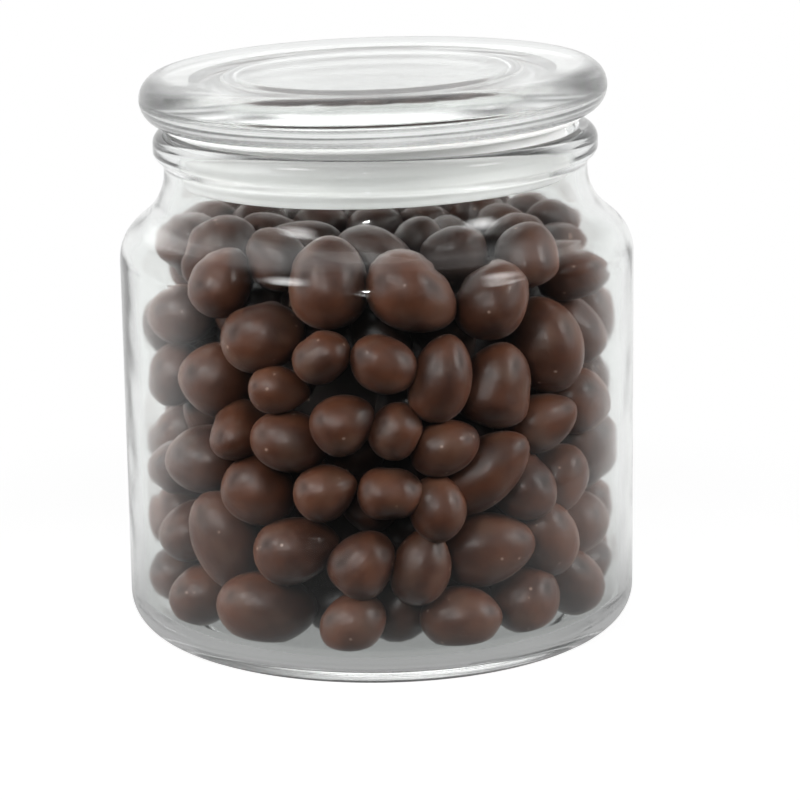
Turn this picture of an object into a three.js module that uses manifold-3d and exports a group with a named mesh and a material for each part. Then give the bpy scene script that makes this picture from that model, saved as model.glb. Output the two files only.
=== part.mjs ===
// A clear pressed-glass sweet jar with its glass lid, filled with chocolate covered peanuts.
// Millimetres, +Z up, the middle of the jar's foot at the origin, the front towards -Y.
// The lid's glass plug wears a soft plastic seal, and both sit a little askew in the neck.
import * as THREE from "three";
import { mergeVertices } from "three/addons/utils/BufferGeometryUtils.js";
import Module from "manifold-3d";

const wasm = await Module();
wasm.setup();

const DEGREE = Math.PI / 180;
const TURN_STEPS = 32;
const ARC_STEP = 30 * DEGREE;
const WELD_DISTANCE = 1e-4;

// Jar: outside radii and heights, with one wall thickness all the way up. A corner height is
// where the straight stretches either side of a round would meet.
const BODY_RADIUS = 51;
const WALL = 2.7;
const FLOOR_TOP = 3.6;
const HEEL_RADIUS = 6.8;
const INNER_HEEL_RADIUS = 5;
const FOOT_INNER_RADIUS = 39;
const FOOT_RECESS = 1.2;
const SHOULDER_CORNER = 79.1;
const SHOULDER_SLOPE = 50.5 * DEGREE;
const SHOULDER_RADIUS = 9.2;
const THROAT_RADIUS = 11.3;
const NECK_RADIUS = 41.8;
const LIP_RADIUS = 43.85;
const LIP_TOP = 100.15;
const LIP_HEIGHT = 4.6;
const LIP_FLARE = 2;
const LIP_OUTER_ROUND = 2.5;
const LIP_INNER_ROUND = 1.4;

// Lid: a thick disc with a half-round edge and a hollow plug below it.
const LID_RADIUS = 46;
const LID_TOP = 112;
const LID_THICKNESS = 9.6;
const PLUG_RADIUS = 35.2;
const PLUG_BOTTOM = 90.2;
const HOLLOW_RADIUS = 29.5;
const HOLLOW_MOUTH_RADIUS = 31;
const HOLLOW_TOP = 105.4;
const HOLLOW_ROUND = 4;

// Seal: a sleeve round the plug with two ribs and a thin flange that lies on the lip.
const SEAL_INNER_RADIUS = 35.6;
const SEAL_SLEEVE_RADIUS = 37.6;
const SEAL_RIB_RADIUS = 38.2;
const SEAL_BOTTOM = 90.4;
const SEAL_RIBS = [93, 97];
const SEAL_RIB_HALF_HEIGHT = 1.2;
const SEAL_FLANGE_RADIUS = 41.2;
const SEAL_FLANGE_BOTTOM = 101.3;
const SEAL_FLANGE_TOP = 102.1;

// The lid and its seal lean together about a point in the neck, the right side high.
const LID_LEAN = 1.2 * DEGREE;
const LEAN_HEIGHT = 92;

// Heap: it keeps clear of the glass, narrows with the shoulder and stops under the plug.
const HEAP_CLEARANCE = 0.8;
const HEAP_TOP = 84.6;
const NARROWING_START = 76.8;
const NARROWING_HEIGHT = 11;
const CORE_RADIUS = 39;
const CORE_BOTTOM = 6;
const CORE_TOP = 75;
const CORE_CHAMFER = 8;
const CORE_SIDES = 16;
const SHOWING_HEIGHT = 72;

// Peanuts: most are drawn, first along the glass and then inside, in these ranges.
const WALL_PEANUTS = 112;
const ALL_PEANUTS = 270;
const WALL_RING = [40.5, 42.5];
const INNER_RING = [0, 33];
const HEIGHT_RANGE = [10, 77];
const THICKNESS_RANGE = [11.2, 14.4];
const LENGTH_RATIO_RANGE = [1.06, 1.36];
const EGG_RANGE = [0.02, 0.2];
const CANDIDATES = 24;
const FIRST_DRAW = 20;
const DRAW_FACTOR = 16807;
const DRAW_MODULUS = 2147483647;
const SETTLE_ROUNDS = 80;
const PUSH_SHARE = 1 / 3;
const FRONT_STIFFNESS = 0.02;
const PEANUT_SIDES = 7;
const PEANUT_RINGS = 4;
const FACET_GROWTH = 1.02;

// The peanuts that lie against the front of the glass, row by row from the floor up: degrees
// round the jar from the front, height, length, thickness, and the degrees by which the long
// axis rises to the right.
const FRONT_PEANUTS = [
  [-60, 10, 15, 13, 30], [-33, 11, 19, 14, 0], [-7, 10.5, 14, 12.5, 30],
  [21, 11.5, 16.5, 13, 5], [44, 11, 14.5, 13.5, 60], [-45, 24, 20, 14, -75],
  [-23, 25, 17.5, 14, 10], [-5, 23, 14.5, 12.5, 50], [11, 23, 17, 12.5, 80],
  [32, 23, 19, 15, 10], [66, 20, 17, 15, 30], [-35, 35.5, 15, 14, -30],
  [-13, 37, 13, 11.5, 20], [3, 36, 14, 12, 0], [27, 37.5, 21.5, 13, 40],
  [54, 32.5, 16, 12.5, 60], [-55, 39.5, 17.5, 14.5, 10], [-25, 46.5, 16.5, 12.5, -10],
  [-9, 50, 12.5, 11.5, 30], [4, 50, 13, 11.5, 60], [17, 45, 14.5, 11, 20],
  [48, 45, 14.5, 12, 35], [86, 47, 17, 12.5, -75], [-50, 54.5, 18.5, 17, 30],
  [-26, 56, 12.5, 9.5, -5], [14, 57.5, 17, 12, 75], [32, 56, 17, 15, 70],
  [-13, 63, 13, 11.5, 40], [1, 62, 14, 12, -20], [53, 60.5, 20, 14.5, -80],
  [86, 62, 15, 12, -70], [-67, 67, 14, 12.5, 20], [-33, 66, 16, 14, 10],
  [-46, 75, 14.5, 12, 60], [-15, 76.5, 16.5, 15, 90], [9, 73, 19.5, 16, -35],
  [32, 71.5, 17, 15, 60], [68, 73, 15, 12.5, 0],
];

/**
 * Profile through corners of [radius, height, rounding]. A rounding is an arc that touches both
 * sides of its corner and starts rounding * tan(turn / 2) before it; 0 keeps the corner sharp.
 */
function rounded(corners) {
  const places = corners.map(([r, z]) => new THREE.Vector2(r, z));
  return corners.flatMap(([, , rounding], i) => {
    if (rounding === 0) {
      return [places[i]];
    }
    const arriving = places[i].clone().sub(places.at(i - 1)).normalize();
    const leaving = places[(i + 1) % places.length].clone().sub(places[i]).normalize();
    const turn = Math.atan2(arriving.cross(leaving), arriving.dot(leaving));
    const setBack = rounding * Math.tan(Math.abs(turn) / 2);
    const start = places[i].clone().addScaledVector(arriving, -setBack);
    const spoke = new THREE.Vector2(arriving.y, -arriving.x).multiplyScalar(rounding * Math.sign(turn));
    const centre = start.sub(spoke);
    const steps = Math.ceil(Math.abs(turn) / ARC_STEP);
    return Array.from({ length: steps + 1 }, (_, step) => (
      centre.clone().add(spoke.clone().rotateAround(new THREE.Vector2(), (turn * step) / steps))
    ));
  });
}

/** A solid of revolution about +Z from a profile of (radius, height) points. */
function turned(profile, steps = TURN_STEPS) {
  const lathe = new THREE.LatheGeometry(profile, steps);
  lathe.rotateX(Math.PI / 2);
  return merged(lathe);
}

/** The same surface with only its positions, and its shared vertices joined. */
function merged(geometry) {
  geometry.deleteAttribute("normal");
  geometry.deleteAttribute("uv");
  const joined = mergeVertices(geometry, WELD_DISTANCE);
  joined.computeVertexNormals();
  return joined;
}

/** Glass shell: foot ring, heel, body, shoulder and beaded lip outside, the same curve inside. */
function jarGeometry() {
  const throatCorner = SHOULDER_CORNER + (BODY_RADIUS - NECK_RADIUS) / Math.tan(SHOULDER_SLOPE);
  const drop = WALL * Math.tan(SHOULDER_SLOPE / 2);
  const lipStart = LIP_TOP - LIP_HEIGHT;
  return turned(rounded([
    [0, FOOT_RECESS, 0],
    [FOOT_INNER_RADIUS - FOOT_RECESS, FOOT_RECESS, 0],
    [FOOT_INNER_RADIUS, 0, 0],
    [BODY_RADIUS, 0, HEEL_RADIUS],
    [BODY_RADIUS, SHOULDER_CORNER, SHOULDER_RADIUS],
    [NECK_RADIUS, throatCorner, THROAT_RADIUS],
    [NECK_RADIUS, lipStart - LIP_FLARE, 0],
    [LIP_RADIUS, lipStart, 0],
    [LIP_RADIUS, LIP_TOP, LIP_OUTER_ROUND],
    [NECK_RADIUS - WALL, LIP_TOP, LIP_INNER_ROUND],
    [NECK_RADIUS - WALL, throatCorner - drop, THROAT_RADIUS + WALL],
    [BODY_RADIUS - WALL, SHOULDER_CORNER - drop, SHOULDER_RADIUS - WALL],
    [BODY_RADIUS - WALL, FLOOR_TOP, INNER_HEEL_RADIUS],
    [0, FLOOR_TOP, 0],
  ]));
}

/** Lid: hollow plug, flat underside, half-round edge and flat top. */
function lidGeometry() {
  const underside = LID_TOP - LID_THICKNESS;
  return turned(rounded([
    [0, HOLLOW_TOP, 0],
    [HOLLOW_RADIUS, HOLLOW_TOP, HOLLOW_ROUND],
    [HOLLOW_MOUTH_RADIUS, PLUG_BOTTOM, 0],
    [PLUG_RADIUS, PLUG_BOTTOM, 0],
    [PLUG_RADIUS, underside, 0],
    [LID_RADIUS, underside, LID_THICKNESS / 2],
    [LID_RADIUS, LID_TOP, LID_THICKNESS / 2],
    [0, LID_TOP, 0],
  ]));
}

/** Seal: sleeve, ribs and flange in one closed ring. */
function sealGeometry() {
  const ribs = SEAL_RIBS.flatMap((z) => [
    [SEAL_SLEEVE_RADIUS, z - SEAL_RIB_HALF_HEIGHT, 0],
    [SEAL_RIB_RADIUS, z, 0],
    [SEAL_SLEEVE_RADIUS, z + SEAL_RIB_HALF_HEIGHT, 0],
  ]);
  return turned(rounded([
    [SEAL_INNER_RADIUS, SEAL_BOTTOM, 0],
    [SEAL_SLEEVE_RADIUS, SEAL_BOTTOM, 0],
    ...ribs,
    [SEAL_SLEEVE_RADIUS, SEAL_FLANGE_BOTTOM, 0],
    [SEAL_FLANGE_RADIUS, SEAL_FLANGE_BOTTOM, 0],
    [SEAL_FLANGE_RADIUS, SEAL_FLANGE_TOP, 0],
    [SEAL_INNER_RADIUS, SEAL_FLANGE_TOP, 0],
    [SEAL_INNER_RADIUS, SEAL_BOTTOM, 0],
  ]));
}

let drawState = FIRST_DRAW;

/** One even draw after another between two bounds, from a fixed start. */
function draw(low, high) {
  drawState = (drawState * DRAW_FACTOR) % DRAW_MODULUS;
  return low + ((high - low) * drawState) / DRAW_MODULUS;
}

/** A peanut of the heap: middle, unit long axis, half length, half thickness and egg shape. */
function peanut(middle, axis, length, thickness, stiffness) {
  const egg = draw(...EGG_RANGE);
  return { middle, axis, halfLength: length / 2, halfThickness: thickness / 2, egg, stiffness };
}

/** A peanut against the front of the glass, which the others hardly push away. */
function frontPeanut([degrees, height, length, thickness, lean]) {
  const ring = BODY_RADIUS - WALL - thickness / 2;
  const middle = new THREE.Vector3(
    ring * Math.sin(degrees * DEGREE), -ring * Math.cos(degrees * DEGREE), height);
  const axis = new THREE.Vector3(Math.cos(lean * DEGREE), 0, Math.sin(lean * DEGREE));
  return peanut(middle, axis, length, thickness, FRONT_STIFFNESS);
}

/** Of several drawn places, the one furthest from the peanuts that are already there. */
function roomiest(placed, [ringLow, ringHigh]) {
  let best = null;
  let bestRoom = -Infinity;
  for (let i = 0; i < CANDIDATES; i += 1) {
    const turn = draw(0, 2 * Math.PI);
    const ring = Math.sqrt(draw(ringLow ** 2, ringHigh ** 2));
    const place = new THREE.Vector3(ring * Math.cos(turn), ring * Math.sin(turn), draw(...HEIGHT_RANGE));
    const room = Math.min(...placed.map((other) => other.middle.distanceTo(place)));
    if (room > bestRoom) {
      best = place;
      bestRoom = room;
    }
  }
  return best;
}

/** A peanut of a drawn size and lie in the roomiest of several places. */
function drawnPeanut(placed, ringRange) {
  const middle = roomiest(placed, ringRange);
  const rise = draw(-1, 1);
  const turn = draw(0, 2 * Math.PI);
  const flat = Math.sqrt(1 - rise * rise);
  const axis = new THREE.Vector3(flat * Math.cos(turn), flat * Math.sin(turn), rise);
  const thickness = draw(...THICKNESS_RANGE);
  const length = thickness * draw(...LENGTH_RATIO_RANGE);
  return peanut(middle, axis, length, thickness, 1);
}

/** Distance from a peanut's middle to its skin along a unit direction. */
function reach(nut, direction) {
  const along = nut.axis.dot(direction) ** 2;
  return 1 / Math.sqrt(along / nut.halfLength ** 2 + (1 - along) / nut.halfThickness ** 2);
}

/** How far a peanut stands out from its middle towards a flat wall. */
function standOff(nut, direction) {
  const along = nut.axis.dot(direction) ** 2;
  return Math.sqrt(along * nut.halfLength ** 2 + (1 - along) * nut.halfThickness ** 2);
}

/** Inner radius of the glass at a height, with the shoulder taken as a straight slope. */
function glassRadius(height) {
  const body = BODY_RADIUS - WALL;
  const neck = NECK_RADIUS - WALL;
  const share = THREE.MathUtils.clamp((height - NARROWING_START) / NARROWING_HEIGHT, 0, 1);
  return body + (neck - body) * share;
}

const UP = new THREE.Vector3(0, 0, 1);

/** Brings a peanut back inside the glass, above the floor and under the plug. */
function keepInside(nut) {
  const ring = Math.hypot(nut.middle.x, nut.middle.y);
  const outward = new THREE.Vector3(nut.middle.x / ring, nut.middle.y / ring, 0);
  const tall = standOff(nut, UP);
  const limit = glassRadius(nut.middle.z + tall / 2) - HEAP_CLEARANCE - standOff(nut, outward);
  if (ring > limit) {
    nut.middle.x = outward.x * limit;
    nut.middle.y = outward.y * limit;
  }
  const lowest = FLOOR_TOP + HEAP_CLEARANCE + tall;
  nut.middle.z = THREE.MathUtils.clamp(nut.middle.z, lowest, HEAP_TOP - tall);
}

/** Pushes overlapping peanuts apart, round after round, until they lie side by side. */
function settle(nuts) {
  for (let round = 0; round < SETTLE_ROUNDS; round += 1) {
    const moves = nuts.map(() => new THREE.Vector3());
    for (let i = 0; i < nuts.length; i += 1) {
      for (let j = i + 1; j < nuts.length; j += 1) {
        const apart = nuts[j].middle.clone().sub(nuts[i].middle);
        const distance = apart.length();
        const direction = apart.divideScalar(distance);
        const overlap = reach(nuts[i], direction) + reach(nuts[j], direction) - distance;
        if (overlap > 0) {
          moves[i].addScaledVector(direction, -overlap * PUSH_SHARE);
          moves[j].addScaledVector(direction, overlap * PUSH_SHARE);
        }
      }
    }
    nuts.forEach((nut, i) => {
      nut.middle.addScaledVector(moves[i], nut.stiffness);
      keepInside(nut);
    });
  }
}

/** All the peanuts where they lie: the front ones, those along the glass and those inside. */
function heapOfPeanuts() {
  const nuts = FRONT_PEANUTS.map(frontPeanut);
  while (nuts.length < WALL_PEANUTS) {
    nuts.push(drawnPeanut(nuts, WALL_RING));
  }
  while (nuts.length < ALL_PEANUTS) {
    nuts.push(drawnPeanut(nuts, INNER_RING));
  }
  settle(nuts);
  return nuts;
}

/** A peanut's skin with few sides: a ball drawn out along its axis, narrower at one end. */
function peanutGeometry(nut) {
  const ball = new THREE.SphereGeometry(FACET_GROWTH, PEANUT_SIDES, PEANUT_RINGS);
  const places = ball.getAttribute("position");
  for (let i = 0; i < places.count; i += 1) {
    const along = places.getY(i);
    const narrow = nut.halfThickness * (1 - nut.egg * along);
    places.setXYZ(i, narrow * places.getX(i), nut.halfLength * along, narrow * places.getZ(i));
  }
  const turn = new THREE.Quaternion().setFromUnitVectors(new THREE.Vector3(0, 1, 0), nut.axis);
  ball.applyQuaternion(turn);
  ball.translate(nut.middle.x, nut.middle.y, nut.middle.z);
  return merged(ball);
}

/** A closed surface as a solid that can be joined to others. */
function solid(geometry) {
  const vertProperties = new Float32Array(geometry.getAttribute("position").array);
  const triVerts = new Uint32Array(geometry.getIndex().array);
  return new wasm.Manifold(new wasm.Mesh({ numProp: 3, vertProperties, triVerts }));
}

/** The surface of a joined solid. */
function surface(body) {
  const mesh = body.getMesh();
  const geometry = new THREE.BufferGeometry();
  geometry.setAttribute("position", new THREE.BufferAttribute(mesh.vertProperties, 3));
  geometry.setIndex(new THREE.BufferAttribute(mesh.triVerts, 1));
  geometry.computeVertexNormals();
  return geometry;
}

/** The inside of the heap, where no peanut shows. */
function heapCore() {
  return turned(rounded([
    [0, CORE_BOTTOM, 0],
    [CORE_RADIUS, CORE_BOTTOM, 0],
    [CORE_RADIUS, CORE_TOP - CORE_CHAMFER, 0],
    [CORE_RADIUS - CORE_CHAMFER, CORE_TOP, 0],
    [0, CORE_TOP, 0],
  ]), CORE_SIDES);
}

/** Whether a peanut shows at the glass or on top of the heap. */
function shows(nut) {
  return Math.hypot(nut.middle.x, nut.middle.y) > CORE_RADIUS || nut.middle.z > SHOWING_HEIGHT;
}

/** The heap as one body: core and showing peanuts joined, without loose scraps or sealed hollows. */
function heapGeometry() {
  const parts = heapOfPeanuts().filter(shows).map((nut) => solid(peanutGeometry(nut)));
  const joined = parts.reduce((body, part) => body.add(part), solid(heapCore()));
  const bodies = joined.decompose();
  const largest = bodies.reduce((a, b) => (b.volume() > a.volume() ? b : a));
  return surface(largest);
}

const glass = new THREE.MeshStandardMaterial({ color: 0xdfe6e3, roughness: 0.03, metalness: 0 });
const softPlastic = new THREE.MeshStandardMaterial({ color: 0xe9e9e6, roughness: 0.4, metalness: 0 });
const chocolate = new THREE.MeshStandardMaterial({ color: 0x4a2c20, roughness: 0.35, metalness: 0 });

function piece(name, geometry, material) {
  const mesh = new THREE.Mesh(geometry, material);
  mesh.name = name;
  return mesh;
}

const part = new THREE.Group();
part.add(piece("jar", jarGeometry(), glass));
part.add(piece("peanuts", heapGeometry(), chocolate));

const closure = new THREE.Group();
closure.position.z = LEAN_HEIGHT;
closure.rotation.y = -LID_LEAN;
const lid = piece("lid", lidGeometry(), glass);
const seal = piece("seal", sealGeometry(), softPlastic);
lid.position.z = -LEAN_HEIGHT;
seal.position.z = -LEAN_HEIGHT;
closure.add(lid, seal);
part.add(closure);

export default part;
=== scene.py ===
import math

import bpy
import numpy as np
from mathutils import Euler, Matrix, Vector


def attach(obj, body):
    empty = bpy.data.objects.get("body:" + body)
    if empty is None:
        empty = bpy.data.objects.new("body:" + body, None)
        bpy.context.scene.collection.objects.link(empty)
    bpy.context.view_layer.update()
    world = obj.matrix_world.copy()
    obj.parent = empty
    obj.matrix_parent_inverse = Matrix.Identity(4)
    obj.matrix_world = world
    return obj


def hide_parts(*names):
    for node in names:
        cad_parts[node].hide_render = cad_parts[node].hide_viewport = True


# A glass jar of chocolate covered peanuts, shut with a glass lid. The sections follow the order
# in which the real one is made and put together; the board, the light and the camera come last.
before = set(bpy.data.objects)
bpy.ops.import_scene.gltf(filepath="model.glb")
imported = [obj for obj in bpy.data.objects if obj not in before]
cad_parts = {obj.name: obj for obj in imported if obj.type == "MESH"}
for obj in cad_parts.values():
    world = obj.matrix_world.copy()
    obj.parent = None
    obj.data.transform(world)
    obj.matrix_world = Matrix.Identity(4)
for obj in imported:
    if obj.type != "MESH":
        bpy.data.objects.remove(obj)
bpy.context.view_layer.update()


# ---------------------------------------------------------------------------------------
# Jar: soda-lime glass, pressed in a mould and fire polished. A thick base stands on a flat
# foot ring, and one even wall makes the body, the round shoulder, the neck and the beaded lip.
# ---------------------------------------------------------------------------------------
scene = bpy.context.scene

# Sizes are in millimetres; meshes and materials take them times MM.
MM = 0.001
BODY_RADIUS = 51.0
WALL = 2.7
FLOOR_TOP = 3.6
HEEL_ROUNDING = 6.8
INNER_HEEL_ROUNDING = 5.0
FOOT_INNER_RADIUS = 39.0
FOOT_INNER_ROUNDING = 0.4
FOOT_RECESS = 1.2
FOOT_RECESS_ROUNDING = 0.8
SHOULDER_SLOPE = math.radians(50.5)
SHOULDER_CORNER = 79.1
SHOULDER_ROUNDING = 9.2
THROAT_ROUNDING = 11.3
NECK_RADIUS = 41.8
LIP_RADIUS = 43.85
LIP_TOP = 100.15
LIP_ROOT_DROP = 6.6
LIP_ROOT_ROUNDING = 1.2
LIP_BEAD_DROP = 4.6
LIP_BEAD_ROUNDING = 1.8
LIP_TOP_ROUNDING = 2.5
MOUTH_ROUNDING = 1.4
ARC_STEP = math.radians(7)
TURNS = 192


def rounded(corners):
    """Outline through (radius, height, rounding) corners: each corner is cut back along both its
    sides by rounding * tan(half the turn), and an arc that touches both sides takes its place."""
    places = np.array([corner[:2] for corner in corners], float)
    outline = []
    for i, (_, _, rounding) in enumerate(corners):
        if rounding == 0:
            outline.append(places[i][None])
            continue
        arriving = places[i] - places[i - 1]
        leaving = places[(i + 1) % len(corners)] - places[i]
        arriving /= np.linalg.norm(arriving)
        leaving /= np.linalg.norm(leaving)
        turn = math.atan2(arriving[0] * leaving[1] - arriving[1] * leaving[0], arriving @ leaving)
        start = places[i] - arriving * rounding * math.tan(abs(turn) / 2)
        angles = np.linspace(0, turn, max(2, math.ceil(abs(turn) / ARC_STEP) + 1))
        inward = math.copysign(1, turn) * np.array([-arriving[1], arriving[0]])
        centre = start + inward * rounding
        cos, sin = np.cos(angles)[:, None], np.sin(angles)[:, None]
        spoke = -inward * rounding
        outline.append(centre + spoke * cos + np.array([-spoke[1], spoke[0]]) * sin)
    return np.concatenate(outline)


def turned(outline, turns=TURNS):
    """Surface of revolution, the point (r, z) of the outline carried to (r cos a, r sin a, z)
    for every angle a of one turn, as a grid of rows along the outline and columns round it."""
    angle = np.linspace(0, 2 * np.pi, turns, endpoint=False)
    r, z = outline[:, :1], outline[:, 1:]
    return np.stack([r * np.cos(angle), r * np.sin(angle), z + 0 * angle], axis=-1)


# The plunger leaves the inner wall uneven in a band round the shoulder. Each wave has its length
# up the wall, its share of the depth, and the swing of its ridges: how far, how often, from where.
WAVE_BAND_MIDDLE = 80.0
WAVE_BAND_REACH = 7.0
WAVE_DEPTH = 0.13
WAVES = [(9.0, 1.0, 2.1, 3, 0.7), (5.3, 0.7, 1.7, 5, 2.0)]


def plunger_waves(outline, turns=TURNS):
    """What the radius of the turned jar is multiplied by. On the inner wall, which follows the lip's
    top in the outline, the radius gains depth * bell of the height * a sum of share * sin(height's
    angle + swing * sin(times * a + start)) over the waves. Elsewhere the factor is 1."""
    r, z = outline[:, :1], outline[:, 1:]
    angle = np.linspace(0, 2 * np.pi, turns, endpoint=False)
    inside = (np.arange(len(outline)) > np.argmax(outline[:, 1]))[:, None]
    bell = np.exp(-((z - WAVE_BAND_MIDDLE) / WAVE_BAND_REACH) ** 2) * inside
    wave = sum(share * np.sin(z * 2 * np.pi / length + swing * np.sin(times * angle + start))
               for length, share, swing, times, start in WAVES)
    return (1 + bell * wave * WAVE_DEPTH / r.clip(1))[..., None]


def grid_faces(rows, columns, closed_rows):
    """Four-sided faces of a grid whose columns close on themselves, and its rows if asked."""
    row = np.arange(rows if closed_rows else rows - 1)[:, None]
    column = np.arange(columns)[None]
    below, above = row * columns, (row + 1) % rows * columns
    right = (column + 1) % columns
    return np.stack([below + column, below + right, above + right, above + column], -1).reshape(-1, 4)


def skin(name, grids, material, closed_rows=False):
    """One mesh piece from equal grids of points in millimetres, shape (parts, rows, columns, 3). The
    first and last row of each part are a pole unless its rows close on themselves: a pole is welded
    to one point, and the faces round it lose the side that shrinks to nothing."""
    parts, rows, columns, _ = grids.shape
    faces = grid_faces(rows, columns, closed_rows)
    faces = (faces[None] + np.arange(parts)[:, None, None] * rows * columns).reshape(-1, 4)
    weld = np.arange(parts * rows * columns).reshape(parts, rows, columns)
    if not closed_rows:
        weld[:, 0] = weld[:, 0, :1]
        weld[:, -1] = weld[:, -1, :1]
    used, index = np.unique(weld.reshape(-1)[faces], return_inverse=True)
    faces = index.reshape(-1, 4)
    at_last = faces[:, 2] == faces[:, 3]
    at_first = faces[:, 0] == faces[:, 1]
    whole = ~at_last & ~at_first
    loops = np.concatenate([faces[whole].reshape(-1), faces[at_last][:, :3].reshape(-1),
                            faces[at_first][:, 1:].reshape(-1)])
    sides = np.repeat([4, 3, 3], [whole.sum(), at_last.sum(), at_first.sum()])
    starts = np.concatenate([[0], np.cumsum(sides)[:-1]])
    points = grids.reshape(-1, 3)[used] * MM
    mesh = bpy.data.meshes.new(name)
    mesh.vertices.add(len(points))
    mesh.vertices.foreach_set("co", points.astype(np.float32).reshape(-1))
    mesh.loops.add(len(loops))
    mesh.loops.foreach_set("vertex_index", loops.astype(np.int32))
    mesh.polygons.add(len(sides))
    mesh.polygons.foreach_set("loop_start", starts.astype(np.int32))
    mesh.polygons.foreach_set("use_smooth", np.ones(len(sides), bool))
    mesh.update(calc_edges=True)
    mesh.validate()
    mesh.materials.append(material)
    piece = bpy.data.objects.new(name, mesh)
    scene.collection.objects.link(piece)
    return piece


def linear(colour):
    """An sRGB hex colour as linear red, green, blue and a full alpha."""
    srgb = np.array([int(colour[i:i + 2], 16) for i in (1, 3, 5)]) / 255
    straight = np.where(srgb <= 0.04045, srgb / 12.92, ((srgb + 0.055) / 1.055) ** 2.4)
    return (*straight.tolist(), 1.0)


def node(tree, kind, settings=None, **inputs):
    """Adds a node. Settings are its properties. Inputs are its sockets, by name with _ for a space,
    or as i0, i1 and so on by number where names repeat; each is set to a value or linked."""
    added = tree.nodes.new(kind)
    for name, value in (settings or {}).items():
        setattr(added, name, value)
    for name, value in inputs.items():
        by_number = name[0] == "i" and name[1:].isdigit()
        socket = added.inputs[int(name[1:]) if by_number else name.replace("_", " ")]
        if isinstance(value, bpy.types.NodeSocket):
            tree.links.new(value, socket)
        else:
            socket.default_value = value
    return added


def new_material(name):
    """An empty material and its node tree."""
    material = bpy.data.materials.new(name)
    material.use_nodes = True
    material.node_tree.nodes.clear()
    return material, material.node_tree


GLASS_TINT = "#fbfdfc"
GLASS_IOR = 1.52
MOULD_RIPPLE = 14.0
MOULD_RIPPLE_DEPTH = 0.5


def pressed_glass(name, waviness, roughness):
    """Soda-lime glass: clear, with a grey-green tint that shows only in the thick base and rims. The
    ripple of the mould bends what is seen through it, and the roughness softens its mirror images."""
    material, tree = new_material(name)
    place = node(tree, "ShaderNodeTexCoord").outputs["Object"]
    ripple = node(tree, "ShaderNodeTexNoise", Vector=place, Scale=1 / (MOULD_RIPPLE * MM), Detail=1.0)
    relief = node(tree, "ShaderNodeBump", Height=ripple.outputs["Fac"], Strength=waviness,
                  Distance=MOULD_RIPPLE_DEPTH * MM)
    glass = node(tree, "ShaderNodeBsdfPrincipled", Base_Color=linear(GLASS_TINT), Roughness=roughness,
                 IOR=GLASS_IOR, Transmission_Weight=1.0, Normal=relief.outputs["Normal"])
    node(tree, "ShaderNodeOutputMaterial", Surface=glass.outputs["BSDF"])
    return material


neck_corner = SHOULDER_CORNER + (BODY_RADIUS - NECK_RADIUS) / math.tan(SHOULDER_SLOPE)
inner_drop = WALL * math.tan(SHOULDER_SLOPE / 2)
jar_outline = rounded([
    (0, FOOT_RECESS, 0),
    (FOOT_INNER_RADIUS - FOOT_RECESS, FOOT_RECESS, FOOT_RECESS_ROUNDING),
    (FOOT_INNER_RADIUS, 0, FOOT_INNER_ROUNDING),
    (BODY_RADIUS, 0, HEEL_ROUNDING),
    (BODY_RADIUS, SHOULDER_CORNER, SHOULDER_ROUNDING),
    (NECK_RADIUS, neck_corner, THROAT_ROUNDING),
    (NECK_RADIUS, LIP_TOP - LIP_ROOT_DROP, LIP_ROOT_ROUNDING),
    (LIP_RADIUS, LIP_TOP - LIP_BEAD_DROP, LIP_BEAD_ROUNDING),
    (LIP_RADIUS, LIP_TOP, LIP_TOP_ROUNDING),
    (NECK_RADIUS - WALL, LIP_TOP, MOUTH_ROUNDING),
    (NECK_RADIUS - WALL, neck_corner - inner_drop, THROAT_ROUNDING + WALL),
    (BODY_RADIUS - WALL, SHOULDER_CORNER - inner_drop, SHOULDER_ROUNDING - WALL),
    (BODY_RADIUS - WALL, FLOOR_TOP, INNER_HEEL_ROUNDING),
    (0, FLOOR_TOP, 0),
])
jar_grid = turned(jar_outline)
jar_grid[..., :2] *= plunger_waves(jar_outline)
jar_glass = pressed_glass("fire_polished_soda_lime_glass", waviness=0.3, roughness=0.06)
jar = skin("jar_glass", jar_grid[None], jar_glass)
jar.visible_shadow = False
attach(jar, "root")
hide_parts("jar")


# ---------------------------------------------------------------------------------------
# Peanuts: roasted peanuts tumbled in a pan while milk chocolate is ladled over them, then
# polished. Each is an uneven egg, some doubled or pointed; they lie as they fell in.
# ---------------------------------------------------------------------------------------
# How many peanuts there are in all, and by the wall; the ranges that a peanut's measures, height
# and distance from the jar's axis are drawn from; and the places drawn for it, to take one of.
ALL_PEANUTS = 270
WALL_PEANUTS = 112
THICKNESS_RANGE = (11.2, 14.4)
LENGTH_RATIO_RANGE = (1.06, 1.36)
EGG_RANGE = (0.02, 0.2)
HEIGHT_RANGE = (10, 77)
WALL_RING = (40.5, 42.5)
INNER_RING = (0, 33)
CANDIDATES = 24
FRONT_GIVE = 0.02
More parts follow.
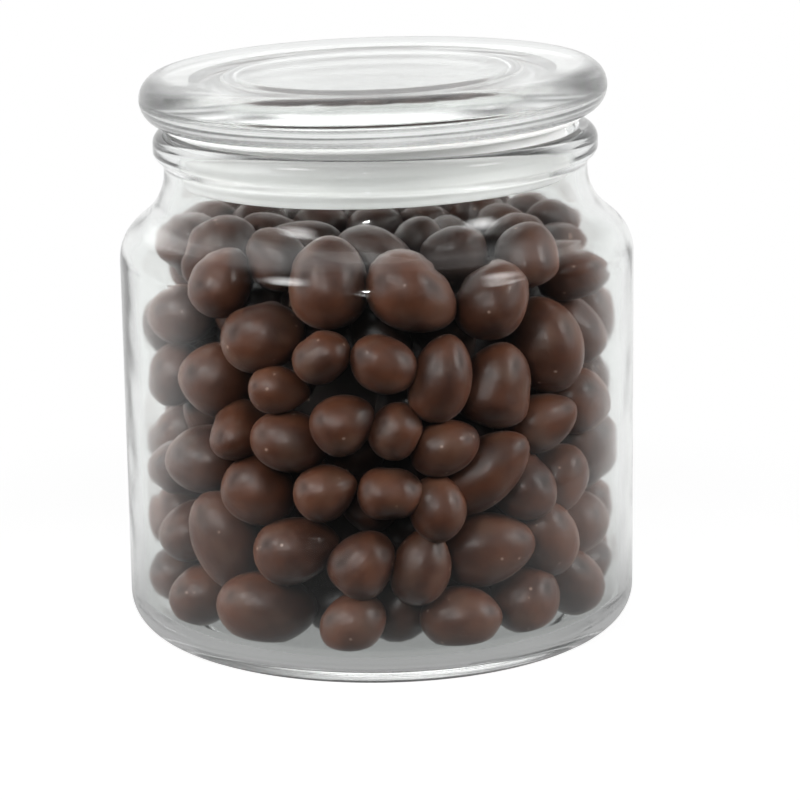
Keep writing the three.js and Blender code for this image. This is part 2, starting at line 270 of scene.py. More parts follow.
# Degrees round the jar from the front, height, length, thickness, and the degrees by which
# the long axis rises to the right, of the peanuts that lie against the front of the glass.
FRONT_PEANUTS = [
    (-60, 10, 15, 13, 30), (-33, 11, 19, 14, 0), (-7, 10.5, 14, 12.5, 30), (21, 11.5, 16.5, 13, 5),
    (44, 11, 14.5, 13.5, 60), (-45, 24, 20, 14, -75), (-23, 25, 17.5, 14, 10),
    (-5, 23, 14.5, 12.5, 50), (11, 23, 17, 12.5, 80), (32, 23, 19, 15, 10), (66, 20, 17, 15, 30),
    (-35, 35.5, 15, 14, -30), (-13, 37, 13, 11.5, 20), (3, 36, 14, 12, 0), (27, 37.5, 21.5, 13, 40),
    (54, 32.5, 16, 12.5, 60), (-55, 39.5, 17.5, 14.5, 10), (-25, 46.5, 16.5, 12.5, -10),
    (-9, 50, 12.5, 11.5, 30), (4, 50, 13, 11.5, 60), (17, 45, 14.5, 11, 20), (48, 45, 14.5, 12, 35),
    (86, 47, 17, 12.5, -75), (-50, 54.5, 18.5, 17, 30), (-26, 56, 12.5, 9.5, -5),
    (14, 57.5, 17, 12, 75), (32, 56, 17, 15, 70), (-13, 63, 13, 11.5, 40), (1, 62, 14, 12, -20),
    (53, 60.5, 20, 14.5, -80), (86, 62, 15, 12, -70), (-67, 67, 14, 12.5, 20), (-33, 66, 16, 14, 10),
    (-46, 75, 14.5, 12, 60), (-15, 76.5, 16.5, 15, 90), (9, 73, 19.5, 16, -35), (32, 71.5, 17, 15, 60),
    (68, 73, 15, 12.5, 0),
]
# What the columns of a peanut's row hold. EGG is how much narrower it is at one end, and GIVE
# how far it gives way when others push it: the ones at the front hardly do.
MIDDLE = slice(0, 3)
AXIS = slice(3, 6)
HALF_LENGTH, HALF_THICKNESS, EGG, GIVE = range(6, 10)

FIRST_STATE = 20
MULTIPLIER = 16807
MODULUS = 2147483647


def generator_states(state):
    """Endless states of the minimal standard generator: each is the last * multiplier mod modulus."""
    while True:
        state = state * MULTIPLIER % MODULUS
        yield state


states = generator_states(FIRST_STATE)


def draw(low, high):
    """The next even draw between two bounds. The start is fixed, so the heap is always the same."""
    return low + (high - low) * next(states) / MODULUS


def front_peanut(degrees, height, length, thickness, lean):
    """Row of a peanut that touches the front wall, at that angle and height, with its long axis
    at (cos lean, 0, sin lean)."""
    ring = BODY_RADIUS - WALL - thickness / 2
    angle, rise = math.radians(degrees), math.radians(lean)
    return (ring * math.sin(angle), -ring * math.cos(angle), height,
            math.cos(rise), 0, math.sin(rise), length / 2, thickness / 2, draw(*EGG_RANGE), FRONT_GIVE)


def drawn_peanut(nuts, ring_range):
    """Row of a peanut at the drawn place, of several, that is furthest from the peanuts already
    there, with its long axis drawn evenly over all directions."""
    places = []
    for _ in range(CANDIDATES):
        turn = draw(0, 2 * math.pi)
        ring = math.sqrt(draw(ring_range[0] ** 2, ring_range[1] ** 2))
        places.append((ring * math.cos(turn), ring * math.sin(turn), draw(*HEIGHT_RANGE)))
    there = np.array(nuts)[:, MIDDLE]
    room = np.linalg.norm(np.array(places)[:, None] - there[None], axis=2).min(1)
    rise = draw(-1, 1)
    turn = draw(0, 2 * math.pi)
    flat = math.sqrt(1 - rise * rise)
    thickness = draw(*THICKNESS_RANGE)
    length = thickness * draw(*LENGTH_RATIO_RANGE)
    return (*places[room.argmax()], flat * math.cos(turn), flat * math.sin(turn), rise,
            length / 2, thickness / 2, draw(*EGG_RANGE), 1)


SETTLE_ROUNDS = 80
# Each peanut of a pair moves by the overlap over this.
PUSH_PARTS = 3
HEAP_CLEARANCE = 0.8
HEAP_TOP = 84.6
# The heap narrows from the body to the neck over this height, from this height up.
HEAP_SHOULDER = 76.8
HEAP_SHOULDER_HEIGHT = 11
# Added to a peanut's distance from itself, which keeps it out of its own push.
FAR_OFF = 1e9


def settle(nuts):
    """Middles of the peanuts once they have pushed each other apart. A peanut reaches
    1 / sqrt(cos^2 / half length^2 + sin^2 / half thickness^2) at an angle to its axis. Each round
    moves both of a pair by a third of their overlap times their give, and brings all back inside
    the glass, which narrows to the neck at the shoulder."""
    middle, axis = nuts[:, MIDDLE].copy(), nuts[:, AXIS]
    half_length, half_thickness = nuts[:, HALF_LENGTH], nuts[:, HALF_THICKNESS]
    tall = np.sqrt(axis[:, 2] ** 2 * half_length ** 2 + (1 - axis[:, 2] ** 2) * half_thickness ** 2)
    for _ in range(SETTLE_ROUNDS):
        apart = middle[None] - middle[:, None]
        distance = np.linalg.norm(apart, axis=2) + np.eye(len(nuts)) * FAR_OFF
        towards = apart / distance[..., None]
        along = np.einsum("ijk,ik->ij", towards, axis) ** 2
        reach = 1 / np.sqrt(along / half_length[:, None] ** 2 + (1 - along) / half_thickness[:, None] ** 2)
        overlap = np.maximum(reach + reach.T - distance, 0)
        middle -= (towards * overlap[..., None] / PUSH_PARTS).sum(1) * nuts[:, GIVE, None]
        ring = np.hypot(middle[:, 0], middle[:, 1])
        outward = middle[:, :2] / ring[:, None]
        lie = (outward * axis[:, :2]).sum(1) ** 2
        stand_off = np.sqrt(lie * half_length ** 2 + (1 - lie) * half_thickness ** 2)
        narrowing = np.clip((middle[:, 2] + tall / 2 - HEAP_SHOULDER) / HEAP_SHOULDER_HEIGHT, 0, 1)
        limit = BODY_RADIUS - WALL + (NECK_RADIUS - BODY_RADIUS) * narrowing - HEAP_CLEARANCE - stand_off
        middle[:, :2] *= np.minimum(1, limit / ring)[:, None]
        middle[:, 2] = np.clip(middle[:, 2], FLOOR_TOP + HEAP_CLEARANCE + tall, HEAP_TOP - tall)
    return middle


# Widths are in ball radii, and heights are shares of the peanut's radius. A waist or a tip drawn
# below 0 is none. The skin is a little smaller than the egg that was settled.
BROAD_BUMPS = 7
BROAD_BUMP_WIDTHS = (0.35, 0.9)
SMALL_BUMPS = 5
SMALL_BUMP_WIDTHS = (0.18, 0.3)
BUMP_HEIGHTS = (-0.13, 0.1)
FULL_HEIGHT_WIDTH = 0.4
WAIST_RANGE = (-0.3, 0.12)
WAIST_WIDTH = 0.35
TIP_RANGE = (-0.3, 0.1)
TIP_POWER = 8
SKIN_SHARE = 0.95
NEAR_UPRIGHT = 0.9
GLASS_CLEARANCE = 0.5


def swelling(ball, count, chance):
    """What an egg's points are multiplied by, for count peanuts at the points of a ball: 1 plus low
    bumps and dents, each height * exp((cosine to its middle - 1) / width^2), then a dent round the
    waist of doubled peanuts and a rise at the end of pointed ones."""
    bumps = chance.normal(size=(count, BROAD_BUMPS + SMALL_BUMPS, 3))
    bumps /= np.linalg.norm(bumps, axis=2, keepdims=True)
    width = np.concatenate([chance.uniform(*BROAD_BUMP_WIDTHS, (count, BROAD_BUMPS)),
                            chance.uniform(*SMALL_BUMP_WIDTHS, (count, SMALL_BUMPS))], 1)
    height = chance.uniform(*BUMP_HEIGHTS, width.shape) * np.minimum(width / FULL_HEIGHT_WIDTH, 1)
    cosine = np.einsum("rck,nbk->nrcb", ball, bumps)
    swell = 1 + (height[:, None, None] * np.exp((cosine - 1) / width[:, None, None] ** 2)).sum(-1)
    waist = np.maximum(chance.uniform(*WAIST_RANGE, (count, 1, 1)), 0)
    tip = np.maximum(chance.uniform(*TIP_RANGE, (count, 1, 1)), 0)
    end = ball[..., 0]
    dent = waist * np.exp(-(end / WAIST_WIDTH) ** 2)
    return swell * SKIN_SHARE * (1 - dent + tip * np.maximum(end, 0) ** TIP_POWER)


def peanut_skins(nuts, rows, columns, chance):
    """Skins of all the peanuts on one grid. With u from pole to pole and v round the long axis, a
    point is half length * cos u along the axis and half thickness * sin u across it, narrower
    towards one end, times its swelling, then turned to the axis and moved to the middle."""
    u = np.linspace(0, np.pi, rows)[:, None]
    v = np.linspace(0, 2 * np.pi, columns, endpoint=False)[None]
    ball = np.stack([np.cos(u) + 0 * v, np.sin(u) * np.cos(v), np.sin(u) * np.sin(v)], -1)
    swell = swelling(ball, len(nuts), chance)
    end = ball[None, ..., 0]
    egg = 1 - nuts[:, EGG, None, None] * end
    along = nuts[:, HALF_LENGTH, None, None] * end * swell
    across = nuts[:, HALF_THICKNESS, None, None, None] * ball[None, ..., 1:] * (egg * swell)[..., None]
    local = np.concatenate([along[..., None], across], -1)
    axis = nuts[:, AXIS]
    # The side is square to the axis and to Z, or to Y where the axis itself is close to Z.
    side = np.cross(axis, np.where(np.abs(axis[:, 2:]) < NEAR_UPRIGHT, [0, 0, 1.0], [0, 1.0, 0]))
    side /= np.linalg.norm(side, axis=1, keepdims=True)
    turn = np.stack([axis, side, np.cross(axis, side)], 1)
    return np.einsum("nrck,nkl->nrcl", local, turn) + nuts[:, None, None, MIDDLE]


def within_glass(points):
    """Points moved in to the glass's inner wall and up to its floor, less a clearance, where they
    are past it: the radius is multiplied by min(1, radius of the wall at that height / radius)."""
    inner_wall = jar_outline[np.argmax(jar_outline[:, 1]) + 1:][::-1]
    room = np.interp(points[..., 2], inner_wall[:, 1], inner_wall[:, 0]) - GLASS_CLEARANCE
    kept = points.copy()
    kept[..., :2] *= np.minimum(1, room / np.hypot(points[..., 0], points[..., 1]))[..., None]
    kept[..., 2] = kept[..., 2].clip(FLOOR_TOP + GLASS_CLEARANCE)
    return kept


# Milk chocolate is cloudy brown from tumbling, with greyish patches of bloom; its pale flecks are
# painted glints. The grain of a panned skin is finer than RELIEF_SIZE, which is as coarse as it
# needs to be to show.
CHOCOLATE_DARK = "#2b1207"
CHOCOLATE_PALE = "#522e1c"
# Painted shade: the colour the chocolate is darkened to inside the heap, where little light gets.
PAINTED_HEAP_SHADE = "#120703"
BLOOM_COLOUR = "#5d4436"
# Painted glints: the colour of the pale flecks that stand in for tiny specular sparkles.
PAINTED_GLINT_COLOUR = "#a08678"
POLISH_COLOUR = "#e8dcd8"
CLOUD_SIZE = 11.0
BLOOM_SIZE = 7.0
BLOOM_SHIFT = (0.07, 0.02, 0.05)
RELIEF_SIZE = 4.0
RELIEF_DEPTH = 0.4
GLINT_FLECK_SPACING = 4.0
DARK_TO_LIT_RADIUS = (33.0, 43.0)
DARK_TO_LIT_HEIGHT = (74.0, 92.0)
# Settings that several nodes share.
SMOOTH = {"interpolation_type": "SMOOTHSTEP"}
COLOUR_MIX = {"data_type": "RGBA"}


def panned_chocolate():
    """Milk chocolate polished by panning: a satin skin over soft unevenness, so each peanut has a
    broad dull sheen and no sharp mirror image. Painted shade darkens its colour inside the heap and
    below its top, where little light gets."""
    material, tree = new_material("panned_milk_chocolate")
    place = node(tree, "ShaderNodeTexCoord").outputs["Object"]

    # Brown, in soft clouds of a darker and a paler one.
    cloud = node(tree, "ShaderNodeTexNoise", Vector=place, Scale=1 / (CLOUD_SIZE * MM), Detail=4.0,
                 Roughness=0.6)
    paleness = node(tree, "ShaderNodeMapRange", Value=cloud.outputs["Fac"], From_Min=0.33, From_Max=0.67)
    brown = node(tree, "ShaderNodeMix", COLOUR_MIX, i0=paleness.outputs[0],
                 i6=linear(CHOCOLATE_DARK), i7=linear(CHOCOLATE_PALE))

    # Patches of bloom, where fat has come to the surface.
    shifted = node(tree, "ShaderNodeMapping", Vector=place, Location=BLOOM_SHIFT)
    patches = node(tree, "ShaderNodeTexNoise", Vector=shifted.outputs[0], Scale=1 / (BLOOM_SIZE * MM),
                   Detail=2.0)
    bloom = node(tree, "ShaderNodeMapRange", Value=patches.outputs["Fac"], From_Min=0.5, From_Max=0.72,
                 To_Min=0.0, To_Max=0.45)
    bloomed = node(tree, "ShaderNodeMix", COLOUR_MIX, i0=bloom.outputs[0], i6=brown.outputs[2],
                   i7=linear(BLOOM_COLOUR))

    # Painted shade: the colour darkens in the middle of the heap and below its top, and is full by the
    # wall and on top.
    apart = node(tree, "ShaderNodeSeparateXYZ", Vector=place)
    flat = node(tree, "ShaderNodeCombineXYZ", X=apart.outputs["X"], Y=apart.outputs["Y"])
    radius = node(tree, "ShaderNodeVectorMath", {"operation": "LENGTH"}, i0=flat.outputs[0])
    by_wall = node(tree, "ShaderNodeMapRange", SMOOTH, Value=radius.outputs["Value"],
                   From_Min=DARK_TO_LIT_RADIUS[0] * MM, From_Max=DARK_TO_LIT_RADIUS[1] * MM)
    on_top = node(tree, "ShaderNodeMapRange", SMOOTH, Value=apart.outputs["Z"],
                  From_Min=DARK_TO_LIT_HEIGHT[0] * MM, From_Max=DARK_TO_LIT_HEIGHT[1] * MM)
    lit = node(tree, "ShaderNodeMath", {"operation": "MAXIMUM"}, i0=by_wall.outputs[0],
               i1=on_top.outputs[0])
    shaded = node(tree, "ShaderNodeMix", COLOUR_MIX, i0=lit.outputs[0], i6=linear(PAINTED_HEAP_SHADE),
                  i7=bloomed.outputs[2])

    # Painted glints: a pale fleck where the surface passes close to the middle of a cell, in place of tiny
    # specular sparkles.
    cells = node(tree, "ShaderNodeTexVoronoi", Vector=place, Scale=1 / (GLINT_FLECK_SPACING * MM))
    glint_fleck = node(tree, "ShaderNodeMapRange", Value=cells.outputs["Distance"], From_Min=0.1,
                 From_Max=0.05, To_Min=0.0, To_Max=0.6)
    glinted = node(tree, "ShaderNodeMix", COLOUR_MIX, i0=glint_fleck.outputs[0], i6=shaded.outputs[2],
                   i7=linear(PAINTED_GLINT_COLOUR))

    # The uneven skin, and the thin glaze that polishes it.
    fine = node(tree, "ShaderNodeTexNoise", Vector=place, Scale=1 / (RELIEF_SIZE * MM), Detail=3.0,
                Roughness=0.55)
    relief = node(tree, "ShaderNodeBump", Height=fine.outputs["Fac"], Strength=0.5,
                  Distance=RELIEF_DEPTH * MM)
    surface = node(tree, "ShaderNodeBsdfPrincipled", Base_Color=glinted.outputs[2], Roughness=0.4,
                   IOR=1.48, Coat_Weight=0.22, Coat_Roughness=0.2, Sheen_Weight=0.05,
                   Sheen_Roughness=0.4, Sheen_Tint=linear(POLISH_COLOUR), Normal=relief.outputs["Normal"])
    node(tree, "ShaderNodeOutputMaterial", Surface=surface.outputs["BSDF"])
    return material


# Peanuts by the glass or on top show, and have a fine grid. The rest are seen through gaps.
SHOWN_BEYOND_RADIUS = 34
SHOWN_ABOVE_HEIGHT = 70
SHOWN_GRID = (20, 24)
HIDDEN_GRID = (12, 16)
SKIN_SEED = 5

nuts = [front_peanut(*row) for row in FRONT_PEANUTS]
while len(nuts) < WALL_PEANUTS:
    nuts.append(drawn_peanut(nuts, WALL_RING))
while len(nuts) < ALL_PEANUTS:
    nuts.append(drawn_peanut(nuts, INNER_RING))
nuts = np.array(nuts)
nuts[:, MIDDLE] = settle(nuts)

chocolate = panned_chocolate()
chance = np.random.default_rng(SKIN_SEED)
shown = (np.hypot(nuts[:, 0], nuts[:, 1]) > SHOWN_BEYOND_RADIUS) | (nuts[:, 2] > SHOWN_ABOVE_HEIGHT)
shown_skins = within_glass(peanut_skins(nuts[shown], *SHOWN_GRID, chance))
peanuts = skin("chocolate_peanuts", shown_skins, chocolate)
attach(peanuts, "root")
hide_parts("peanuts")

hidden_skins = within_glass(peanut_skins(nuts[~shown], *HIDDEN_GRID, chance))
inner = skin("chocolate_peanuts_inside", hidden_skins, chocolate)
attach(inner, "root")

# The core stands for the middle of the heap and closes the deepest gaps. Its chocolate is all painted
# shade, so it is a dark sheet where those gaps show only shade.
CORE_RADIUS = 32.0
CORE_BOTTOM = 8.0
CORE_BOTTOM_ROUNDING = 8.0
CORE_TOP = 72.0
CORE_TOP_ROUNDING = 14.0
CORE_TURNS = 96

core_outline = rounded([
    (0, CORE_BOTTOM, 0),
    (CORE_RADIUS, CORE_BOTTOM, CORE_BOTTOM_ROUNDING),
    (CORE_RADIUS, CORE_TOP, CORE_TOP_ROUNDING),
    (0, CORE_TOP, 0),
])
core = skin("chocolate_heap_core", turned(core_outline, CORE_TURNS)[None], chocolate)
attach(core, "root")
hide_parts("peanuts")


# ---------------------------------------------------------------------------------------
# Seal: a soft clear plastic sleeve that is pushed over the lid's plug, with two ribs that
# grip the neck and a thin flange between lid and lip. It leans with the lid.
# ---------------------------------------------------------------------------------------
LID_LEAN = math.radians(1.2)
LEAN_HEIGHT = 92.0
SEAL_INNER_RADIUS = 35.6
SEAL_SLEEVE_RADIUS = 37.6
SEAL_BOTTOM = 90.4
SEAL_BOTTOM_ROUNDING = 0.6
SEAL_RIB_RADIUS = 38.2
SEAL_RIB_HEIGHTS = (93.0, 97.0)
SEAL_RIB_HALF_WIDTH = 1.2
SEAL_RIB_ROUNDING = 1.5
SEAL_FLANGE_RADIUS = 41.2
SEAL_FLANGE_BOTTOM = 101.3
SEAL_FLANGE_TOP = 102.1
SEAL_FLANGE_ROOT_ROUNDING = 0.5
SEAL_EDGE_ROUNDING = 0.3

SEAL_MILKY = "#f1f1ee"
SEAL_CLEAR = "#fefefe"
SEAL_PAINTED_GLOW = "#f6f7f5"
FLOW_STREAK = 8.0
FLOW_FLATNESS = 4
FLOW_DEPTH = 0.3


def leaned(grid):
    """The grid turned about a point of the neck, so that its right side is high: x cos - z sin
    and x sin + z cos, with z counted from that point."""
    cos, sin = math.cos(LID_LEAN), math.sin(LID_LEAN)
    x, y, z = grid[..., 0], grid[..., 1], grid[..., 2] - LEAN_HEIGHT
    return np.stack([x * cos - z * sin, y, x * sin + z * cos + LEAN_HEIGHT], -1)


def moulded_polythene():
    """Moulded low-density polythene: milky, lets light through and blurs what lies behind it, with
    streaks that run round it as the melt flowed. Its faint glow is painted light, an emission in
    place of the light scattered in its wall."""
    material, tree = new_material("moulded_clear_polythene")
    place = node(tree, "ShaderNodeTexCoord").outputs["Object"]
    flow = node(tree, "ShaderNodeMapping", Vector=place, Scale=(1, 1, FLOW_FLATNESS))
    streaks = node(tree, "ShaderNodeTexNoise", Vector=flow.outputs[0], Scale=1 / (FLOW_STREAK * MM),
                   Detail=3.0)
    milk = node(tree, "ShaderNodeMix", COLOUR_MIX, i0=streaks.outputs["Fac"],
                i6=linear(SEAL_MILKY), i7=linear(SEAL_CLEAR))
    relief = node(tree, "ShaderNodeBump", Height=streaks.outputs["Fac"], Strength=0.25,
                  Distance=FLOW_DEPTH * MM)
    # The emission is painted light: a glow in place of light scattered through the wall.
    surface = node(tree, "ShaderNodeBsdfPrincipled", Base_Color=milk.outputs[2], Roughness=0.5, IOR=1.51,
                   Transmission_Weight=0.6, Emission_Color=linear(SEAL_PAINTED_GLOW), Emission_Strength=0.07,
                   Normal=relief.outputs["Normal"])
    node(tree, "ShaderNodeOutputMaterial", Surface=surface.outputs["BSDF"])
    return material


seal_ribs = [corner for height in SEAL_RIB_HEIGHTS for corner in (
    (SEAL_SLEEVE_RADIUS, height - SEAL_RIB_HALF_WIDTH, SEAL_RIB_ROUNDING),
    (SEAL_RIB_RADIUS, height, SEAL_RIB_ROUNDING),
    (SEAL_SLEEVE_RADIUS, height + SEAL_RIB_HALF_WIDTH, SEAL_RIB_ROUNDING),
)]
seal_outline = rounded([
    (SEAL_INNER_RADIUS, SEAL_BOTTOM, SEAL_EDGE_ROUNDING),
    (SEAL_SLEEVE_RADIUS, SEAL_BOTTOM, SEAL_BOTTOM_ROUNDING),
    *seal_ribs,
    (SEAL_SLEEVE_RADIUS, SEAL_FLANGE_BOTTOM, SEAL_FLANGE_ROOT_ROUNDING),
    (SEAL_FLANGE_RADIUS, SEAL_FLANGE_BOTTOM, SEAL_EDGE_ROUNDING),
    (SEAL_FLANGE_RADIUS, SEAL_FLANGE_TOP, SEAL_EDGE_ROUNDING),
    (SEAL_INNER_RADIUS, SEAL_FLANGE_TOP, SEAL_EDGE_ROUNDING),
])
seal = skin("seal_sleeve", leaned(turned(seal_outline))[None], moulded_polythene(), closed_rows=True)
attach(seal, "root")
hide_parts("seal")


# ---------------------------------------------------------------------------------------
# Lid: pressed glass like the jar, a thick disc with a half-round edge and a hollow plug.
# It stands on the seal's flange, its right side a little high.
# ---------------------------------------------------------------------------------------
LID_RADIUS = 46.0
LID_TOP = 112.0
LID_THICKNESS = 9.6
PLUG_RADIUS = 35.2
PLUG_BOTTOM = 90.2
PLUG_EDGE_ROUNDING = 1.6
PLUG_ROOT_ROUNDING = 0.8
HOLLOW_RADIUS = 29.5
HOLLOW_MOUTH_RADIUS = 31.0
HOLLOW_TOP = 105.4
HOLLOW_ROUNDING = 4.0

lid_bottom = LID_TOP - LID_THICKNESS
lid_outline = rounded([
    (0, HOLLOW_TOP, 0),
    (HOLLOW_RADIUS, HOLLOW_TOP, HOLLOW_ROUNDING),
    (HOLLOW_MOUTH_RADIUS, PLUG_BOTTOM, PLUG_EDGE_ROUNDING),
    (PLUG_RADIUS, PLUG_BOTTOM, PLUG_EDGE_ROUNDING),
    (PLUG_RADIUS, lid_bottom, PLUG_ROOT_ROUNDING),
    (LID_RADIUS, lid_bottom, LID_THICKNESS / 2),
    (LID_RADIUS, LID_TOP, LID_THICKNESS / 2),
    (0, LID_TOP, 0),
])
lid_glass = pressed_glass("pressed_soda_lime_glass", waviness=0.1, roughness=0.13)
lid = skin("lid_glass", leaned(turned(lid_outline))[None], lid_glass)
lid.visible_shadow = False
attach(lid, "root")
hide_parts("lid")


# ---------------------------------------------------------------------------------------
# Floor: a round white board under studio light. It isn't part of the object. The jar stands
# on it, and its brightness fills the thick base and the heel of the glass.
# ---------------------------------------------------------------------------------------
BOARD_RADIUS = 170.0
BOARD_THICKNESS = 4.0
BOARD_TURNS = 64
BOARD_COLOUR = "#f0f0f0"
BOARD_OVEREXPOSURE = 0.88
# Ranges of the distance from the middle, and of the place from front to back.
BOARD_TO_WHITE = (90.0, 160.0)
BOARD_FRONT = (-150.0, -30.0)
BOARD_BACK = (-20.0, 70.0)
WHITE = (1, 1, 1, 1)


def white_board():
    """Painted white board. The camera meets it overexposed, as a board under studio light is, turning
    to pure white before its edge. The glass and the peanuts meet a painted glow instead, an emission
    that grows from the front to the back as if the backdrop's light fell on it."""
    material, tree = new_material("floor_white_board")
    place = node(tree, "ShaderNodeTexCoord").outputs["Object"]
    depth = node(tree, "ShaderNodeSeparateXYZ", Vector=place).outputs["Y"]
    # Painted light: an emission that grows from the front to the back, in place of the backdrop's light
    # falling on the board.
    front = node(tree, "ShaderNodeMapRange", SMOOTH, Value=depth, From_Min=BOARD_FRONT[0] * MM,
                 From_Max=BOARD_FRONT[1] * MM, To_Min=0.03, To_Max=0.4)
    back = node(tree, "ShaderNodeMapRange", SMOOTH, Value=depth, From_Min=BOARD_BACK[0] * MM,
                From_Max=BOARD_BACK[1] * MM, To_Min=front.outputs["Result"], To_Max=0.85)
    painted_glow = node(tree, "ShaderNodeEmission", Strength=back.outputs["Result"])

    paint = node(tree, "ShaderNodeBsdfDiffuse", Color=linear(BOARD_COLOUR))
    glare = node(tree, "ShaderNodeEmission", Color=WHITE, Strength=BOARD_OVEREXPOSURE)
    overexposed = node(tree, "ShaderNodeAddShader", i0=paint.outputs[0], i1=glare.outputs[0])
    out = node(tree, "ShaderNodeVectorMath", {"operation": "LENGTH"}, i0=place)
    to_white = node(tree, "ShaderNodeMapRange", SMOOTH, Value=out.outputs["Value"],
                    From_Min=BOARD_TO_WHITE[0] * MM, From_Max=BOARD_TO_WHITE[1] * MM)
    pure = node(tree, "ShaderNodeEmission", Strength=1.0)
    seen = node(tree, "ShaderNodeMixShader", i0=to_white.outputs["Result"], i1=overexposed.outputs[0],
                i2=pure.outputs[0])

    path = node(tree, "ShaderNodeLightPath")
    surface = node(tree, "ShaderNodeMixShader", i0=path.outputs["Is Camera Ray"], i1=painted_glow.outputs[0],
                   i2=seen.outputs[0])
    node(tree, "ShaderNodeOutputMaterial", Surface=surface.outputs[0])
    return material


board_outline = np.array([
    (0, -BOARD_THICKNESS),
    (BOARD_RADIUS, -BOARD_THICKNESS),
    (BOARD_RADIUS, 0),
    (0, 0),
])
floor = skin("floor", turned(board_outline, BOARD_TURNS)[None], white_board())


# ---------------------------------------------------------------------------------------
# Light: a studio with a white backdrop behind the jar and a dark room in front of it, which
# draw the light and dark lines in the glass, and soft lights with round cloths.
# ---------------------------------------------------------------------------------------
ROOM_TURN = math.radians(-12)
BACKDROP_BRIGHTNESS = 0.95
DULL_SHARE = 0.1
# A count of bounces below this is none.
UNDER_ONE = 0.5

# A line of sight can cross a dozen surfaces of jar, seal and lid before it leaves the glass.
scene.cycles.max_bounces = 24
scene.cycles.transmission_bounces = 20
scene.cycles.glossy_bounces = 12
scene.cycles.diffuse_bounces = 4
scene.cycles.transparent_max_bounces = 16
scene.cycles.caustics_reflective = False
scene.cycles.caustics_refractive = False
scene.cycles.sample_clamp_indirect = 6.0


def room_brightness(tree):
    """The room's brightness by direction, from -1 to 1 on each axis, Y away from the camera: dark
    behind the camera and bright behind the jar; a band above the horizon brighter in the middle and
    darker at the sides; a ceiling bright towards the back; and less light from below."""
    direction = node(tree, "ShaderNodeTexCoord").outputs["Generated"]
    about = node(tree, "ShaderNodeVectorRotate", {"rotation_type": "Z_AXIS"}, Vector=direction,
                 Angle=ROOM_TURN)
    part = node(tree, "ShaderNodeSeparateXYZ", Vector=about.outputs[0])
    walls = node(tree, "ShaderNodeMapRange", SMOOTH, Value=part.outputs["Y"],
                 From_Min=-0.15, From_Max=0.6, To_Min=0.02, To_Max=0.9)
    aside = node(tree, "ShaderNodeMath", {"operation": "ABSOLUTE"}, i0=part.outputs["X"])
    contrast = node(tree, "ShaderNodeMapRange", SMOOTH, Value=aside.outputs[0],
                    From_Min=0.25, From_Max=0.6, To_Min=2.0, To_Max=0.45)
    band = node(tree, "ShaderNodeMath", {"operation": "MULTIPLY"}, i0=walls.outputs["Result"],
                i1=contrast.outputs["Result"])
    raised = node(tree, "ShaderNodeMapRange", SMOOTH, Value=part.outputs["Z"], From_Min=0.2,
                  From_Max=0.45, To_Min=walls.outputs["Result"], To_Max=band.outputs[0])
    ceiling = node(tree, "ShaderNodeMapRange", SMOOTH, Value=part.outputs["Y"],
                   From_Min=-0.25, From_Max=0.35, To_Min=0.1, To_Max=1.4)
    topped = node(tree, "ShaderNodeMapRange", SMOOTH, Value=part.outputs["Z"], From_Min=0.65,
                  From_Max=0.95, To_Min=raised.outputs["Result"], To_Max=ceiling.outputs["Result"])
    below = node(tree, "ShaderNodeMapRange", SMOOTH, Value=part.outputs["Z"],
                 From_Min=-0.9, From_Max=-0.3, To_Min=0.3, To_Max=1.0)
    brightness = node(tree, "ShaderNodeMath", {"operation": "MULTIPLY"}, i0=topped.outputs["Result"],
                      i1=below.outputs["Result"])
    return brightness.outputs[0]


def studio():
    """The world. The camera sees white. A ray that came only through glass sees the room, but never
    darker than the backdrop. A mirrored ray sees the room, and one that has left a dull surface a
    tenth of it, because the soft lights do that work."""
    world = bpy.data.worlds.new("studio")
    world.use_nodes = True
    tree = world.node_tree
    tree.nodes.clear()
    room = room_brightness(tree)
    path = node(tree, "ShaderNodeLightPath")
    bounces = node(tree, "ShaderNodeMath", {"operation": "ADD"}, i0=path.outputs["Diffuse Depth"],
                   i1=path.outputs["Glossy Depth"])
    no_bounce = node(tree, "ShaderNodeMath", {"operation": "LESS_THAN"}, i0=bounces.outputs[0],
                     i1=UNDER_ONE)
    through = node(tree, "ShaderNodeMath", {"operation": "MULTIPLY"}, i0=no_bounce.outputs[0],
                   i1=path.outputs["Is Transmission Ray"])
    not_dull = node(tree, "ShaderNodeMath", {"operation": "LESS_THAN"}, i0=path.outputs["Diffuse Depth"],
                    i1=UNDER_ONE)
    specular = node(tree, "ShaderNodeMath", {"operation": "MAXIMUM"}, i0=path.outputs["Is Glossy Ray"],
                    i1=path.outputs["Is Transmission Ray"])
    mirrored = node(tree, "ShaderNodeMath", {"operation": "MULTIPLY"}, i0=specular.outputs[0],
                    i1=not_dull.outputs[0])
    dull = node(tree, "ShaderNodeMath", {"operation": "MULTIPLY"}, i0=room, i1=DULL_SHARE)
    lighting = node(tree, "ShaderNodeMix", {"data_type": "FLOAT"}, i0=mirrored.outputs[0],
                    i2=dull.outputs[0], i3=room)
    backdrop = node(tree, "ShaderNodeMath", {"operation": "MAXIMUM"}, i0=room, i1=BACKDROP_BRIGHTNESS)
    met = node(tree, "ShaderNodeMix", {"data_type": "FLOAT"}, i0=through.outputs[0],
               i2=lighting.outputs[0], i3=backdrop.outputs[0])
    level = node(tree, "ShaderNodeMix", {"data_type": "FLOAT"}, i0=path.outputs["Is Camera Ray"],
                 i2=met.outputs[0], i3=1.0)
    glow = node(tree, "ShaderNodeBackground", Color=WHITE, Strength=level.outputs[0])
    node(tree, "ShaderNodeOutputWorld", Surface=glow.outputs["Background"])
    return world


# The height of the jar that the lights face, the strength in the middle of a light's cloth, the
# distances from the middle, in widths, at which it is nothing and full, and where the middle is.
LIT_HEIGHT = 60.0
HOT_MIDDLE = 3.0
CLOTH_RIM = 0.5
CLOTH_MIDDLE = 0.05
CLOTH_CENTRE = (0.5, 0.5, 0)

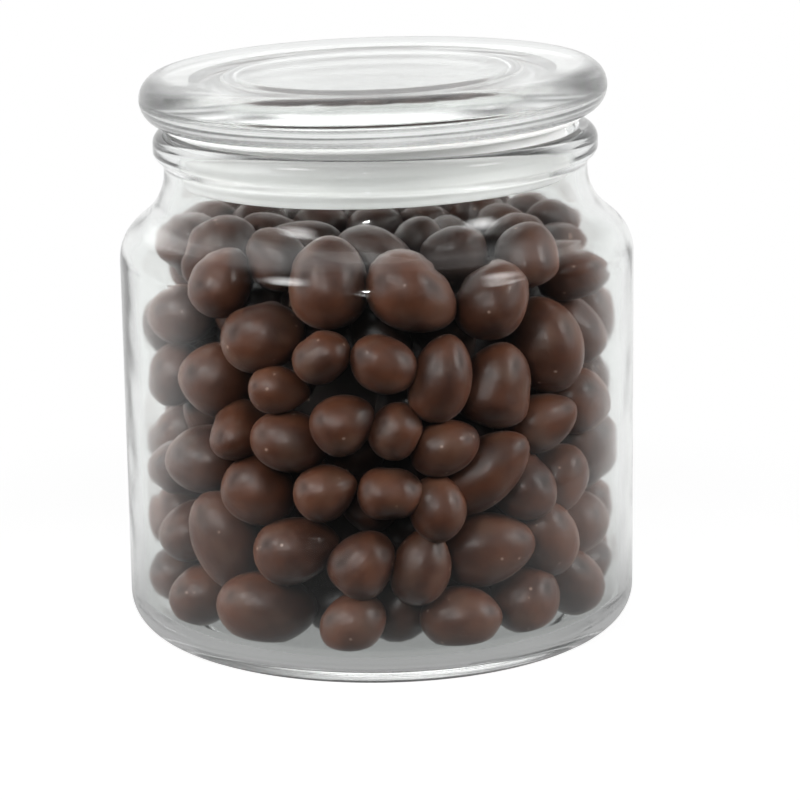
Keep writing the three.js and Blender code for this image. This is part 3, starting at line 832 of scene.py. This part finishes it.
# Name, degrees to the right of the camera's side and above the board, distance and width in
# metres, and radiance. The first ones light what is inside the glass alone, so they shape the
# chocolate and leave no patches in the glass; the others are what the shoulder and lip mirror.
INSIDE_LIGHTS = [
    ("wall_left", -82, 20, 1.0, 0.7, 12),
    ("wall_right", 82, 22, 1.0, 0.7, 12),
    ("key", -26, 32, 1.0, 0.34, 13),
    ("fill", 38, 34, 1.0, 0.35, 6),
    ("rim_left", -148, 28, 1.0, 0.6, 8),
    ("rim_right", 148, 28, 1.0, 0.6, 8),
]
MIRRORED_LIGHTS = [
    ("softbox_left", -46, 38, 1.0, 0.4, 3),
    ("softbox_right", 60, 32, 1.0, 0.4, 3),
    ("flash", -5, 22, 0.75, 0.04, 90),
]


def softbox(name, azimuth, elevation, distance, width, radiance, receivers=None):
    """A round soft light that faces the jar, its cloth brightest in the middle. Its power is
    pi * area * radiance. With receivers, a collection, it lights only those pieces."""
    turn, rise = math.radians(azimuth), math.radians(elevation)
    lamp = bpy.data.lights.new(name, "AREA")
    lamp.shape = "DISK"
    lamp.size = width
    lamp.energy = math.pi * (math.pi * width ** 2 / 4) * radiance
    lamp.use_nodes = True
    tree = lamp.node_tree
    tree.nodes.clear()
    spot = node(tree, "ShaderNodeNewGeometry").outputs["Parametric"]
    off = node(tree, "ShaderNodeVectorMath", {"operation": "DISTANCE"}, i0=spot, i1=CLOTH_CENTRE)
    hot = node(tree, "ShaderNodeMapRange", SMOOTH, Value=off.outputs["Value"], From_Min=CLOTH_RIM,
               From_Max=CLOTH_MIDDLE, To_Min=0.0, To_Max=HOT_MIDDLE)
    cloth = node(tree, "ShaderNodeEmission", Color=WHITE, Strength=hot.outputs["Result"])
    node(tree, "ShaderNodeOutputLight", Surface=cloth.outputs[0])
    light = bpy.data.objects.new(name, lamp)
    light.light_linking.receiver_collection = receivers
    away = Vector((math.sin(turn) * math.cos(rise), -math.cos(turn) * math.cos(rise), math.sin(rise)))
    light.location = away * distance + Vector((0, 0, LIT_HEIGHT * MM))
    light.rotation_euler = away.to_track_quat("Z", "Y").to_euler()
    scene.collection.objects.link(light)


scene.world = studio()
inside_the_glass = bpy.data.collections.new("inside_the_glass")
for piece in (peanuts, inner, core, seal):
    inside_the_glass.objects.link(piece)
for row in INSIDE_LIGHTS:
    softbox(*row, receivers=inside_the_glass)
for row in MIRRORED_LIGHTS:
    softbox(*row)


# ---------------------------------------------------------------------------------------
# Camera: a long lens a good half metre from the jar, a little above it and looking down.
# ---------------------------------------------------------------------------------------
CAMERA_DISTANCE = 612.0
CAMERA_HEIGHT = 198.8
CAMERA_PITCH = math.radians(14.18)
CAMERA_YAW = math.radians(-0.39)
CAMERA_ROLL = math.radians(0.8)
LENS = 141
SENSOR_WIDTH = 36

camera_data = bpy.data.cameras.new("camera")
camera_data.lens = LENS
camera_data.sensor_width = SENSOR_WIDTH
camera = bpy.data.objects.new("camera", camera_data)
scene.collection.objects.link(camera)
camera.location = (0, -CAMERA_DISTANCE * MM, CAMERA_HEIGHT * MM)
aim = Euler((math.pi / 2 - CAMERA_PITCH, 0, CAMERA_YAW)).to_matrix()
camera.rotation_euler = (aim @ Euler((0, 0, -CAMERA_ROLL)).to_matrix()).to_euler()
scene.camera = camera
scene.view_settings.view_transform = "Standard"
scene.cycles.use_denoising = True
